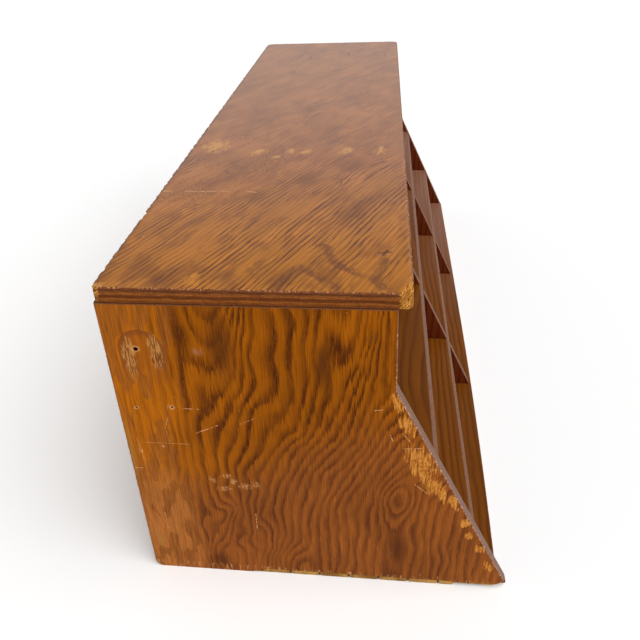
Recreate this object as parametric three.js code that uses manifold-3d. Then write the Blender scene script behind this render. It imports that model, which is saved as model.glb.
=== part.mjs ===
// A slant-front plywood pigeonhole rack for a desk top, three bays long and three rows high.
// Millimetres, +Z up, +X along the length, -Y towards the open front.
// The origin is the centre of the base of the bounding box.
import * as THREE from 'three';
import { mergeVertices } from 'three/addons/utils/BufferGeometryUtils.js';
import Module from 'manifold-3d';

const wasm = await Module();
wasm.setup();

// Driving dimensions. A depth is measured forwards from the back edge, a height up from the base.
const LENGTH = 883;
const HEIGHT = 311;
const BASE_DEPTH = 330;
const TOP_DEPTH = 230.5;
const THICK_PLY = 12.7;
const THIN_PLY = 9.5;
const BACK_PLY = 6.35;
const GAP = 0.3;

// The side profile: a nearly upright front edge down to the knee, then a straight slope to the toe.
const PANEL_TOP_DEPTH = 220;
const KNEE_DEPTH = 222;
const KNEE_HEIGHT = 226;
const SLOPE_FOOT_DEPTH = 333;
const HEEL_RADIUS = 8;
const TOE_RADIUS = 4;
const TOP_CORNER_RADIUS = 5;

// Shelves and dividers, which lap into each other at half depth.
const SHELF_TOPS = { middle_shelf: 80, upper_shelf: 155 };
const DIVIDER_CENTRES = { left_divider: -147.5, right_divider: 141.5 };
const FRONT_SETBACK = 1.5;
const HOUSING_DEPTH = 3.2;
const HOUSING_STOP = 14;
const LAP_DEPTH = 130;

// The bottom board's front edge wanders back towards the left end.
const BOTTOM_FRONT_DEPTH = 329;
const BOTTOM_LEFT_DEPTH = 321.5;
const BOTTOM_BEND = new THREE.Vector2(-230, 328.5);

// The back panel lies in a rebate of the end panels.
const REBATE_WIDTH = 6;
const BACK_PANEL_FOOT = 1;

// Nails.
const NAIL = { length: 34, shank: 0.8, head: 1.3, headHeight: 1.6, set: 0.8 };
const TACK = { length: 18, shank: 0.6, head: 1.6, headHeight: 0.8, set: 0.2 };
const NAIL_SIDES = 8;
const END_NAIL_DEPTHS = [25, 84, 143, 202];
const DIVIDER_NAIL_DEPTHS = [40, 118, 196];
const BOTTOM_NAIL_DEPTHS = [45, 165, 285];
const FOOT_NAIL_DEPTHS = [60, 170, 280];
const BACK_NAIL_HEIGHTS = [42, 113, 226];
const BACK_NAIL_XS = [-300, 0, 300];

const BACK_Y = BASE_DEPTH / 2;
const INNER_X = LENGTH / 2 - THICK_PLY;
const TOP_UNDERSIDE = HEIGHT - THICK_PLY;
const BAY_BACK_DEPTH = BACK_PLY + GAP;

const WOOD = {
  face: { color: 0x9a5a22, roughness: 0.35 },
  top: { color: 0x9c6238, roughness: 0.3 },
  inner: { color: 0x6e3d1c, roughness: 0.45 },
};
const STEEL = { color: 0x5f5a54, roughness: 0.5, metalness: 0.9 };

const rack = new THREE.Group();

// Geometry helpers.
const toY = (depth) => BACK_Y - depth;

function frontDepth(height) {
  if (height > KNEE_HEIGHT) {
    const share = (height - KNEE_HEIGHT) / (TOP_UNDERSIDE - KNEE_HEIGHT);
    return THREE.MathUtils.lerp(KNEE_DEPTH, PANEL_TOP_DEPTH, share);
  }
  return THREE.MathUtils.lerp(SLOPE_FOOT_DEPTH, KNEE_DEPTH, height / KNEE_HEIGHT);
}

function solidOf(geometry) {
  const bare = geometry.clone();
  bare.deleteAttribute('normal');
  bare.deleteAttribute('uv');
  const merged = mergeVertices(bare, 1e-4);
  return new wasm.Manifold(new wasm.Mesh({
    numProp: 3,
    vertProperties: new Float32Array(merged.getAttribute('position').array),
    triVerts: new Uint32Array(merged.index.array),
  }));
}

function geometryOf(solid) {
  const { vertProperties, triVerts } = solid.getMesh();
  const geometry = new THREE.BufferGeometry();
  geometry.setAttribute('position', new THREE.BufferAttribute(vertProperties, 3));
  geometry.setIndex(new THREE.BufferAttribute(triVerts, 1));
  geometry.computeVertexNormals();
  return geometry;
}

function cut(geometry, cutters) {
  const solid = cutters.reduce((left, cutter) => left.subtract(solidOf(cutter)), solidOf(geometry));
  return geometryOf(solid);
}

function block(lowX, highX, backDepth, forwardDepth, low, high) {
  const geometry = new THREE.BoxGeometry(highX - lowX, forwardDepth - backDepth, high - low);
  return geometry.translate((lowX + highX) / 2, toY((backDepth + forwardDepth) / 2), (low + high) / 2);
}

// Extrudes an outline drawn in depth and height along X, from lowX to highX.
function alongLength(outline, lowX, highX) {
  const geometry = new THREE.ExtrudeGeometry(outline, {
    depth: highX - lowX,
    bevelEnabled: false,
    curveSegments: 6,
  });
  const axes = new THREE.Matrix4().makeBasis(
    new THREE.Vector3(0, 1, 0),
    new THREE.Vector3(0, 0, 1),
    new THREE.Vector3(1, 0, 0),
  );
  return geometry.applyMatrix4(axes).translate(lowX, 0, 0);
}

// Extrudes an outline drawn in plan upwards, from low to high.
function upwards(outline, low, high) {
  const geometry = new THREE.ExtrudeGeometry(outline, {
    depth: high - low,
    bevelEnabled: false,
    curveSegments: 6,
  });
  return geometry.translate(0, 0, low);
}

function addPiece(name, geometry, finish) {
  const mesh = new THREE.Mesh(geometry, new THREE.MeshStandardMaterial(finish));
  mesh.name = name;
  rack.add(mesh);
}

// Nails. A nail is drawn along its own -Z, with the face that it is driven through at z = 0.
function nailProfile(nail, clearance) {
  const { length, shank, head, headHeight, set } = nail;
  const mouth = clearance > 0 ? set : 0;
  return [
    new THREE.Vector2(0, -set - length - clearance),
    new THREE.Vector2(shank + clearance, -set - length + shank - clearance),
    new THREE.Vector2(shank + clearance, -set - headHeight - clearance),
    new THREE.Vector2(head + clearance, -set - headHeight / 2 - clearance),
    new THREE.Vector2(head + clearance, -set + 2 * mouth),
    new THREE.Vector2(0, -set + 2 * mouth),
  ];
}

function nailGeometry(nail, clearance, place) {
  const lathe = new THREE.LatheGeometry(nailProfile(nail, clearance), NAIL_SIDES);
  return lathe.rotateX(Math.PI / 2).applyMatrix4(place);
}

// A frame at the given point whose +Z looks back along the nail, out of the wood.
function drivenFrom(x, depth, height, outwards) {
  const turn = new THREE.Quaternion().setFromUnitVectors(new THREE.Vector3(0, 0, 1), outwards);
  const point = new THREE.Vector3(x, toY(depth), height);
  return new THREE.Matrix4().compose(point, turn, new THREE.Vector3(1, 1, 1));
}

const UP = new THREE.Vector3(0, 0, 1);
const DOWN = new THREE.Vector3(0, 0, -1);
const LEFT = new THREE.Vector3(-1, 0, 0);
const RIGHT = new THREE.Vector3(1, 0, 0);
const BACKWARDS = new THREE.Vector3(0, 1, 0);

const nails = [];

function addNail(name, nail, place, pieces) {
  nails.push({ name, nail, place, pieces });
}

function planNails() {
  const ends = { left: -1, right: 1 };
  for (const [side, sign] of Object.entries(ends)) {
    const panel = side + '_end_panel';
    const panelX = sign * (LENGTH - THICK_PLY) / 2;
    END_NAIL_DEPTHS.forEach((depth, i) => {
      const place = drivenFrom(panelX, depth, HEIGHT, UP);
      addNail(`top_nail_${side}_end_${i + 1}`, NAIL, place, ['top_board', panel]);
    });
    BOTTOM_NAIL_DEPTHS.forEach((depth, i) => {
      const place = drivenFrom(sign * LENGTH / 2, depth, THICK_PLY / 2, sign < 0 ? LEFT : RIGHT);
      addNail(`bottom_nail_${side}_${i + 1}`, NAIL, place, [panel, 'bottom_board']);
    });
    const divider = side + '_divider';
    const dividerX = DIVIDER_CENTRES[divider];
    DIVIDER_NAIL_DEPTHS.forEach((depth, i) => {
      const place = drivenFrom(dividerX, depth, HEIGHT, UP);
      addNail(`top_nail_${side}_divider_${i + 1}`, NAIL, place, ['top_board', divider]);
    });
    FOOT_NAIL_DEPTHS.forEach((depth, i) => {
      const place = drivenFrom(dividerX, depth, 0, DOWN);
      addNail(`foot_nail_${side}_${i + 1}`, NAIL, place, ['bottom_board', divider]);
    });
    BACK_NAIL_HEIGHTS.forEach((height, i) => {
      const place = drivenFrom(dividerX, 0, height, BACKWARDS);
      addNail(`back_nail_${side}_divider_${i + 1}`, TACK, place, ['back_panel', divider]);
    });
  }
  const rows = { bottom_board: THICK_PLY / 2 };
  for (const [shelf, top] of Object.entries(SHELF_TOPS)) rows[shelf] = top - THIN_PLY / 2;
  for (const [board, height] of Object.entries(rows)) {
    BACK_NAIL_XS.forEach((x, i) => {
      const place = drivenFrom(x, 0, height, BACKWARDS);
      addNail(`back_nail_${board}_${i + 1}`, TACK, place, ['back_panel', board]);
    });
  }
}

const holesIn = (piece) => nails
  .filter(({ pieces }) => pieces.includes(piece))
  .map(({ nail, place }) => nailGeometry(nail, GAP, place));

// The profile shared by the end panels and the dividers, between two heights.
function sideProfile(backDepth, setback, low, high) {
  const outline = new THREE.Shape();
  outline.moveTo(toY(backDepth), low);
  outline.lineTo(toY(backDepth), high);
  outline.lineTo(toY(frontDepth(high) - setback), high);
  outline.lineTo(toY(KNEE_DEPTH - setback), KNEE_HEIGHT);
  outline.lineTo(toY(frontDepth(low) - setback), low);
  outline.closePath();
  return outline;
}

function endPanelProfile() {
  const noseHeight = KNEE_HEIGHT * (SLOPE_FOOT_DEPTH - BASE_DEPTH) / (SLOPE_FOOT_DEPTH - KNEE_DEPTH);
  const top = TOP_UNDERSIDE - GAP;
  const outline = new THREE.Shape();
  outline.moveTo(toY(0), HEEL_RADIUS);
  outline.lineTo(toY(0), top);
  outline.lineTo(toY(frontDepth(top)), top);
  outline.lineTo(toY(KNEE_DEPTH), KNEE_HEIGHT);
  outline.lineTo(toY(BASE_DEPTH), noseHeight);
  outline.lineTo(toY(BASE_DEPTH), TOE_RADIUS);
  outline.absarc(toY(BASE_DEPTH - TOE_RADIUS), TOE_RADIUS, TOE_RADIUS, Math.PI, 1.5 * Math.PI, false);
  outline.absarc(toY(HEEL_RADIUS), HEEL_RADIUS, HEEL_RADIUS, -0.5 * Math.PI, 0, false);
  return outline;
}

// An end panel, with a rebate for the back panel and a stopped housing for each shelf.
function endPanel(side, sign) {
  const name = side + '_end_panel';
  const xs = [sign * INNER_X, sign * LENGTH / 2].sort((a, b) => a - b);
  const body = alongLength(endPanelProfile(), xs[0], xs[1]);
  const cutFrom = (reach) => [sign * (INNER_X - 1), sign * (INNER_X + reach)].sort((a, b) => a - b);
  const rebate = cutFrom(REBATE_WIDTH);
  const cutters = [block(rebate[0], rebate[1], -1, BAY_BACK_DEPTH, -1, HEIGHT)];
  for (const top of Object.values(SHELF_TOPS)) {
    const housing = cutFrom(HOUSING_DEPTH);
    const stop = frontDepth(top) - HOUSING_STOP;
    cutters.push(block(housing[0], housing[1], BACK_PLY, stop, top - THIN_PLY - GAP, top + GAP));
  }
  addPiece(name, cut(body, [...cutters, ...holesIn(name)]), WOOD.face);
}

function topBoard() {
  const right = LENGTH / 2;
  const back = toY(0);
  const front = toY(TOP_DEPTH);
  const radius = TOP_CORNER_RADIUS;
  const quarter = Math.PI / 2;
  const outline = new THREE.Shape();
  outline.moveTo(right, front + radius);
  outline.absarc(right - radius, back - radius, radius, 0, quarter, false);
  outline.absarc(-right + radius, back - radius, radius, quarter, 2 * quarter, false);
  outline.absarc(-right + radius, front + radius, radius, 2 * quarter, 3 * quarter, false);
  outline.absarc(right - radius, front + radius, radius, 3 * quarter, 4 * quarter, false);
  addPiece('top_board', cut(upwards(outline, TOP_UNDERSIDE, HEIGHT), holesIn('top_board')), WOOD.top);
}

function bottomBoard() {
  const end = INNER_X - GAP;
  const outline = new THREE.Shape();
  outline.moveTo(-end, toY(BAY_BACK_DEPTH));
  outline.lineTo(-end, toY(BOTTOM_LEFT_DEPTH));
  outline.quadraticCurveTo(BOTTOM_BEND.x, toY(BOTTOM_BEND.y), 0, toY(BOTTOM_FRONT_DEPTH));
  outline.lineTo(end, toY(BOTTOM_FRONT_DEPTH));
  outline.lineTo(end, toY(BAY_BACK_DEPTH));
  outline.closePath();
  addPiece('bottom_board', cut(upwards(outline, 0, THICK_PLY), holesIn('bottom_board')), WOOD.inner);
}

// A shelf with a bevelled front edge, notched corners that hide the housings, and a slot at each
// divider that is open at the back.
function shelf(name, top) {
  const low = top - THIN_PLY;
  const outline = new THREE.Shape();
  outline.moveTo(toY(BAY_BACK_DEPTH), low);
  outline.lineTo(toY(BAY_BACK_DEPTH), top);
  outline.lineTo(toY(frontDepth(top) - FRONT_SETBACK), top);
  outline.lineTo(toY(frontDepth(low) - FRONT_SETBACK), low);
  outline.closePath();
  const end = INNER_X + HOUSING_DEPTH - GAP;
  const notchBack = frontDepth(top) - HOUSING_STOP - GAP;
  const cutters = [
    block(-end - 1, -INNER_X + GAP, notchBack, BASE_DEPTH, low - 1, top + 1),
    block(INNER_X - GAP, end + 1, notchBack, BASE_DEPTH, low - 1, top + 1),
  ];
  for (const x of Object.values(DIVIDER_CENTRES)) {
    const half = THIN_PLY / 2 + GAP;
    cutters.push(block(x - half, x + half, -1, LAP_DEPTH + GAP, low - 1, top + 1));
  }
  addPiece(name, cut(alongLength(outline, -end, end), [...cutters, ...holesIn(name)]), WOOD.inner);
}

// A divider from the bottom board to the top board, with a slot at each shelf that is open in front.
function divider(name, x) {
  const profile = sideProfile(BAY_BACK_DEPTH, FRONT_SETBACK, THICK_PLY + GAP, TOP_UNDERSIDE - GAP);
  const half = THIN_PLY / 2;
  const slots = Object.values(SHELF_TOPS).map((top) => (
    block(x - half - 1, x + half + 1, LAP_DEPTH, BASE_DEPTH, top - THIN_PLY - GAP, top + GAP)
  ));
  const body = alongLength(profile, x - half, x + half);
  addPiece(name, cut(body, [...slots, ...holesIn(name)]), WOOD.inner);
}

function backPanel() {
  const end = INNER_X + REBATE_WIDTH - GAP;
  const body = block(-end, end, 0, BACK_PLY, BACK_PANEL_FOOT, TOP_UNDERSIDE - GAP);
  addPiece('back_panel', cut(body, holesIn('back_panel')), WOOD.inner);
}

planNails();
endPanel('left', -1);
endPanel('right', 1);
topBoard();
bottomBoard();
for (const [name, top] of Object.entries(SHELF_TOPS)) shelf(name, top);
for (const [name, x] of Object.entries(DIVIDER_CENTRES)) divider(name, x);
backPanel();
for (const { name, nail, place } of nails) addPiece(name, nailGeometry(nail, 0, place), STEEL);

export default rack;
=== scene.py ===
"""A varnished plywood pigeonhole rack for a desk top, worn at its edges: three bays of three rows."""

import math

import bmesh
import bpy
from mathutils import Matrix, Vector, noise


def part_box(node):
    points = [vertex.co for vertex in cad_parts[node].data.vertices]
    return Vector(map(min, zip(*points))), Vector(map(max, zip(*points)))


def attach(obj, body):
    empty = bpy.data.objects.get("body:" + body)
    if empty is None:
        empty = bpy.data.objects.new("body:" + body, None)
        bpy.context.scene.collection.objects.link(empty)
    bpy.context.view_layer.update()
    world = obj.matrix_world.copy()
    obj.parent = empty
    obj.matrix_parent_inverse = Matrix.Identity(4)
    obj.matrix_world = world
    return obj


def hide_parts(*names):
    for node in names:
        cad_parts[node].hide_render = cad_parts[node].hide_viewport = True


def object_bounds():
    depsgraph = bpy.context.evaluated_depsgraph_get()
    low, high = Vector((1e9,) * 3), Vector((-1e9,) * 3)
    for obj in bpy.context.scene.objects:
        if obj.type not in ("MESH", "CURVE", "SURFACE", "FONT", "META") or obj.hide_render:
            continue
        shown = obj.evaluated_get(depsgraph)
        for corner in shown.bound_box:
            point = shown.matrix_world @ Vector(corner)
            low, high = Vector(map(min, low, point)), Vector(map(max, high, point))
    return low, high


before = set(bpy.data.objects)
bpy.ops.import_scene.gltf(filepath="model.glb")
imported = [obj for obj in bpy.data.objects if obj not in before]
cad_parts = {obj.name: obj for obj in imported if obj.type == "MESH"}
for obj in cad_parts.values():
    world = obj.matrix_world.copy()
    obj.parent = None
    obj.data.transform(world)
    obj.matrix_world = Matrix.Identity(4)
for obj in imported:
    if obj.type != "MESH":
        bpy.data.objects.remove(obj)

CAD_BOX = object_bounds()
HIGH = CAD_BOX[1]
MM = 0.001

# Shape of the side profile, in millimetres. A depth is measured forwards from the back edge.
KNEE_DEPTH = 222.0
KNEE_HEIGHT = 226.0
PANEL_TOP_DEPTH = 220.0
SLOPE_FOOT_DEPTH = 333.0
NOSE_DEPTH = 330.0
NOSE_HEIGHT = 6.1
HEEL_RADIUS = 8.0
TOE_RADIUS = 4.0
TOP_CORNER_RADIUS = 5.0
TOP_FAR_RADIUS = 11.0
FRONT_SETBACK = 1.5
LAP_DEPTH = 130.0
HOUSING_STOP = 14.0
HOUSING_DEPTH = 3.2
REBATE_WIDTH = 6.0
GAP = 0.3
BOTTOM_LEFT_DEPTH = 321.5
BOTTOM_BEND = (-230.0, 328.5)
BOTTOM_FRONT_DEPTH = 329.0

# The top board's thickness, and how far the glue lines of each plywood are from its first face.
THICK_PLY = 12.7
THICK_PLIES = (2.3, 3.9, 7.1, 9.6)
PANEL_PLIES = (0.95, 4.4, 8.3, 11.75)
THIN_PLIES = (3.1, 6.4)

BACK_Y = HIGH.y / MM
HALF_LENGTH = HIGH.x / MM
HEIGHT = HIGH.z / MM


def box_mm(node):
    """A CAD node's lowest and highest corners in millimetres."""
    low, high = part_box(node)
    return low / MM, high / MM


def srgb(red, green, blue):
    """A linear colour from the usual 0 to 255 values."""
    linear = []
    for value in (red, green, blue):
        share = value / 255
        linear.append(share / 12.92 if share < 0.04045 else ((share + 0.055) / 1.055) ** 2.4)
    return (*linear, 1.0)


def add_object(name, data):
    made = bpy.data.objects.new(name, data)
    bpy.context.scene.collection.objects.link(made)
    return made


def solidify(bm, name, materials):
    """An object made from a bmesh, which is used up."""
    mesh = bpy.data.meshes.new(name)
    bm.to_mesh(mesh)
    bm.free()
    for material in materials:
        mesh.materials.append(material)
    return add_object(name, mesh)


# ---------------- camera, floor and light

CAMERA_AT = Vector((-0.83739, -0.03821, 0.54222))
CAMERA_YAW = math.radians(7.983)
CAMERA_PITCH = math.radians(33.686)
CAMERA_ROLL = math.radians(-2.845)
CAMERA_LENS = 37.527
CAMERA_SHIFT = (0.0381, 0.0220)
FLOOR_REACH = 12.0
# The room's brightness near the horizon and overhead, and the heights of view between which it falls.
ROOM_LEVELS = (0.8, 0.2)
ROOM_FALL = (0.22, 0.5)
KEY_FROM = (-0.4, -0.38, 0.84)
KEY_STRENGTH = 3.2
KEY_WIDTH = math.radians(70)


def make_camera():
    yaw, pitch, roll = CAMERA_YAW, CAMERA_PITCH, CAMERA_ROLL
    ahead = Vector((math.cos(pitch) * math.cos(yaw), math.cos(pitch) * math.sin(yaw), -math.sin(pitch)))
    level = ahead.cross(Vector((0, 0, 1))).normalized()
    upright = level.cross(ahead)
    right = level * math.cos(roll) + upright * math.sin(roll)
    up = upright * math.cos(roll) - level * math.sin(roll)
    data = bpy.data.cameras.new("camera")
    data.sensor_width = 36.0
    data.lens = CAMERA_LENS
    data.shift_x, data.shift_y = CAMERA_SHIFT
    data.clip_start = 0.01
    data.clip_end = 100
    camera = add_object("camera", data)
    camera.matrix_world = Matrix.Translation(CAMERA_AT) @ Matrix((right, up, -ahead)).transposed().to_4x4()
    bpy.context.scene.camera = camera


def make_floor():
    material = bpy.data.materials.new("floor_paper")
    material.use_nodes = True
    shader = material.node_tree.nodes["Principled BSDF"]
    shader.inputs["Base Color"].default_value = (0.92, 0.92, 0.92, 1)
    shader.inputs["Roughness"].default_value = 0.9
    shader.inputs["Specular IOR Level"].default_value = 0.1
    bm = bmesh.new()
    bmesh.ops.create_grid(bm, x_segments=1, y_segments=1, size=FLOOR_REACH)
    solidify(bm, "floor", [material])


def make_key():
    """One wide soft light from the upper left and the front."""
    data = bpy.data.lights.new("soft_key", "SUN")
    data.energy = KEY_STRENGTH
    data.angle = KEY_WIDTH
    lamp = add_object("soft_key", data)
    lamp.rotation_euler = Vector(KEY_FROM).to_track_quat("Z", "Y").to_euler()


def make_room():
    """White all round, brightest near the horizon."""
    world = bpy.data.worlds.new("studio")
    world.use_nodes = True
    tree = world.node_tree
    direction = tree.nodes.new("ShaderNodeTexCoord")
    split = tree.nodes.new("ShaderNodeSeparateXYZ")
    fall = tree.nodes.new("ShaderNodeMapRange")
    fall.interpolation_type = "SMOOTHSTEP"
    for socket, value in zip(fall.inputs[1:5], (*ROOM_FALL, *ROOM_LEVELS)):
        socket.default_value = value
    tree.links.new(direction.outputs["Generated"], split.inputs[0])
    tree.links.new(split.outputs["Z"], fall.inputs[0])
    background = tree.nodes["Background"]
    background.inputs["Color"].default_value = (1, 1, 1, 1)
    tree.links.new(fall.outputs[0], background.inputs["Strength"])
    bpy.context.scene.world = world
    bpy.context.scene.view_settings.view_transform = "Standard"


# ---------------- node building


class Shade:
    """One material's nodes, built by calls on sockets or plain numbers, and its colour so far.

    A spot is a pair of sockets, a place on a board's face in millimetres. Marks are worked out from it one
    number at a time, because Cycles holds only a few vectors at once.
    """

    def __init__(self, name):
        self.material = bpy.data.materials.new(name)
        self.material.use_nodes = True
        self.tree = self.material.node_tree
        self.shader = self.tree.nodes["Principled BSDF"]
        self.colour = None

    def node(self, kind, **settings):
        made = self.tree.nodes.new("ShaderNode" + kind)
        for name, value in settings.items():
            setattr(made, name, value)
        return made

    def feed(self, socket, value):
        """Links a socket, or sets a number or a colour of three values from 0 to 255."""
        if isinstance(value, bpy.types.NodeSocket):
            self.tree.links.new(value, socket)
        else:
            socket.default_value = srgb(*value) if isinstance(value, tuple) else value

    def math(self, operation, *values):
        made = self.node("Math", operation=operation)
        for socket, value in zip(made.inputs, values):
            self.feed(socket, value)
        return made.outputs[0]

    def add(self, first, second):
        return self.math("ADD", first, second)

    def times(self, first, second):
        return self.math("MULTIPLY", first, second)

    def blend_in(self, value, factor, base):
        """value times factor plus base."""
        return self.math("MULTIPLY_ADD", value, factor, base)

    def largest(self, values):
        result = values[0]
        for value in values[1:]:
            result = self.math("MAXIMUM", result, value)
        return result

    def ramp(self, value, start, end, low=0.0, high=1.0, kind="SMOOTHSTEP"):
        """A smooth rise or fall from low at start to high at end, and level outside them."""
        made = self.node("MapRange", interpolation_type=kind)
        for socket, number in zip(made.inputs, (value, start, end, low, high)):
            self.feed(socket, number)
        return made.outputs[0]

    def fade(self, value, mask, start, end, low=0.0, high=1.0):
        """The value times the mask's ramp."""
        return self.times(value, self.ramp(mask, start, end, low, high))

    def colours(self, value, stops):
        made = self.node("ValToRGB")
        ramp = made.color_ramp
        while len(ramp.elements) < len(stops):
            ramp.elements.new(1.0)
        for element, (place, colour) in zip(ramp.elements, stops):
            element.position = place
            element.color = srgb(*colour)
        self.feed(made.inputs[0], value)
        return made.outputs[0]

    def mix(self, share, first, second):
        made = self.node("Mix", data_type="RGBA")
        self.feed(made.inputs[0], share)
        self.feed(made.inputs[6], first)
        self.feed(made.inputs[7], second)
        return made.outputs[2]

    def stain(self, share, colour):
        """Covers a share of the material's colour with another one."""
        self.colour = self.mix(share, self.colour, colour)

    def scaled(self, colour, value):
        """The colour times a number."""
        made = self.node("HueSaturation")
        self.feed(made.inputs["Color"], colour)
        self.feed(made.inputs["Value"], value)
        return made.outputs[0]

    def plane(self, *axes):
        """Board coordinates in millimetres: a socket for each (axis, sign, offset) in the object's frame."""
        place = self.node("TexCoord").outputs["Object"]
        split = self.node("SeparateXYZ")
        self.feed(split.inputs[0], place)
        return [self.blend_in(split.outputs[axis], sign / MM, offset) for axis, sign, offset in axes]

    def noise(self, place, scale, detail=2.0, roughness=0.5, seed=0.0):
        """Noise from 0 to 1, about 0.5. scale is its size in millimetres along each coordinate of place."""
        join = self.node("CombineXYZ")
        for index, (value, size) in enumerate(zip(place, scale)):
            self.feed(join.inputs[index], self.blend_in(value, 1 / size, seed * (3.7 + 5.3 * index)))
        if len(scale) < 3:
            join.inputs[2].default_value = seed * 1.7
        made = self.node("TexNoise")
        self.feed(made.inputs["Vector"], join.outputs[0])
        made.inputs["Scale"].default_value = 1.0
        made.inputs["Detail"].default_value = detail
        made.inputs["Roughness"].default_value = roughness
        return made.outputs[0]

    def sway(self, spot, scale, reach, seed=0.0):
        """The spot shifted by smooth noise, up to about reach millimetres in its first coordinate."""
        wave = self.noise(spot, scale, 1.0, seed=seed)
        return self.blend_in(wave, 2 * reach, self.add(spot[0], -reach)), spot[1]

    def line(self, spot, first, second, offset):
        """first times the spot's first coordinate, plus second times its other one, plus offset."""
        return self.blend_in(spot[0], first, self.blend_in(spot[1], second, offset))

    def seen_from(self, spot, centre, radii, turn):
        """The spot as seen from a centre, turned by so many degrees and measured in radii."""
        cos, sin = math.cos(math.radians(turn)), math.sin(math.radians(turn))
        (x, y), (a, b) = centre, radii
        along = self.line(spot, cos / a, sin / a, -(x * cos + y * sin) / a)
        across = self.line(spot, -sin / b, cos / b, (x * sin - y * cos) / b)
        return along, across

    def away(self, along, across):
        return self.math("SQRT", self.blend_in(along, along, self.times(across, across)))

    def hill(self, spot, centre, radii, turn=0.0, height=1.0):
        """A smooth hill of that height, nothing beyond its radii."""
        distance = self.away(*self.seen_from(spot, centre, radii, turn))
        return self.ramp(distance, 0.0, 1.0, height, 0.0, "SMOOTHERSTEP")

    def hills(self, spot, marks):
        """The largest of several hills of height 1, each (centre, radii) or (centre, radii, turn)."""
        return self.largest([self.hill(spot, *mark) for mark in marks])

    def stroke(self, spot, start, end, width):
        """1 on a straight scratch from start to end, 0 past its half width."""
        span = Vector(end) - Vector(start)
        middle = (Vector(start) + Vector(end)) / 2
        along, across = self.seen_from(spot, middle, (1, 1), math.degrees(math.atan2(span.y, span.x)))
        beyond = self.math("MAXIMUM", self.add(self.math("ABSOLUTE", along), -span.length / 2), 0)
        return self.ramp(self.away(beyond, across), 0.25 * width, width, 1.0, 0.0)

    def strokes(self, spot, marks, width):
        return self.largest([self.stroke(spot, start, end, width) for start, end in marks])

    def bump(self, height, strength=0.3, distance=0.2):
        made = self.node("Bump")
        made.inputs["Strength"].default_value = strength
        made.inputs["Distance"].default_value = distance * MM
        self.feed(made.inputs["Height"], height)
        self.feed(self.shader.inputs["Normal"], made.outputs[0])

    def finish(self, roughness, gloss=0.5):
        self.feed(self.shader.inputs["Base Color"], self.colour)
        self.feed(self.shader.inputs["Roughness"], roughness)
        self.shader.inputs["Specular IOR Level"].default_value = gloss
        return self.material


# ---------------- boards as meshes

OUTLINE_STEP = 2.5
SHARP_ANGLE = math.radians(32)


def front_depth(height):
    """Where the end panels' front edge is at a height."""
    if height > KNEE_HEIGHT:
        share = (height - KNEE_HEIGHT) / (HEIGHT - KNEE_HEIGHT)
        return KNEE_DEPTH + (PANEL_TOP_DEPTH - KNEE_DEPTH) * share
    return SLOPE_FOOT_DEPTH + (KNEE_DEPTH - SLOPE_FOOT_DEPTH) * height / KNEE_HEIGHT


def arc(centre, radius, start, end, steps=8):
    """Points round a corner. Angles are in degrees."""
    turns = [math.radians(start + (end - start) * i / steps) for i in range(steps + 1)]
    return [(centre[0] + radius * math.cos(a), centre[1] + radius * math.sin(a)) for a in turns]


def dense(corners, step=OUTLINE_STEP):
    """A closed outline with points no further apart than step."""
    points = []
    for start, end in zip(corners, corners[1:] + corners[:1]):
        length = math.dist(start, end)
        count = max(1, math.ceil(length / step))
        for i in range(count):
            share = i / count
            points.append(tuple(a + (b - a) * share for a, b in zip(start, end)))
    return points


def mitres(outline):
    """At each point of an anticlockwise outline, the way inwards that keeps both its edges parallel."""
    found = []
    for before, here, after in zip(outline[-1:] + outline[:-1], outline, outline[1:] + outline[:1]):
        first = (Vector(here) - Vector(before)).normalized()
        second = (Vector(after) - Vector(here)).normalized()
        sides = Vector((-first.y, first.x)), Vector((-second.y, second.x))
        found.append((sides[0] + sides[1]) / (1 + sides[0].dot(sides[1])))
    return found


def ply_rows(thickness, glue_lines, ease=0.8, groove=0.14):
    """(distance from the first face, inset, layer) through a board with eased arrises and glue lines."""
    rows = []
    for turn in (0, 35, 65, 90):
        angle = math.radians(turn)
        rows.append((ease * (1 - math.cos(angle)), ease * (1 - math.sin(angle)), 0))
    for layer, line in enumerate(glue_lines):
        rows.append((line - 0.12, 0.0, layer))
        rows.append((line, groove, layer))
        rows.append((line, groove, layer + 1))
        rows.append((line + 0.12, 0.0, layer + 1))
    last = len(glue_lines)
    for turn in (90, 65, 35, 0):
        angle = math.radians(turn)
        rows.append((thickness - ease * (1 - math.cos(angle)), ease * (1 - math.sin(angle)), last))
    return rows


def bumpy(*place):
    """Smooth noise about 0 at a place, with bumps about 1 across."""
    return noise.noise(Vector(place))


def ragged(u, v, layer, seed, size=5.0):
    """From 0 to 1, mostly near 0: how much the edge of a veneer has crumbled at a place."""
    value = bumpy(u / size, v / size, seed + 7.3 * layer)
    fine = bumpy(u / 1.7, v / 1.7, seed + 5.1 * layer)
    return max(0.0, value + 0.35 * fine) ** 1.5


def cut_back(point, normal, limit):
    """A point moved back to the line where its distance along a unit normal is limit."""
    over = point[0] * normal[0] + point[1] * normal[1] - limit
    if over <= 0:
        return point
    return point[0] - over * normal[0], point[1] - over * normal[1]


def shade_edges(mesh):
    """Smooth round the eased edges and flat on the faces, which are the ones with many corners."""
    mesh.set_sharp_from_angle(angle=SHARP_ANGLE)
    for face in mesh.polygons:
        face.use_smooth = len(face.vertices) <= 4


def strips(bm, rings):
    """Joins each ring of corners to the next with faces, and returns them."""
    made = []
    for ring, following in zip(rings, rings[1:]):
        for i in range(len(ring)):
            made.append(bm.faces.new((ring[i - 1], ring[i], following[i], following[i - 1])))
    return made


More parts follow.
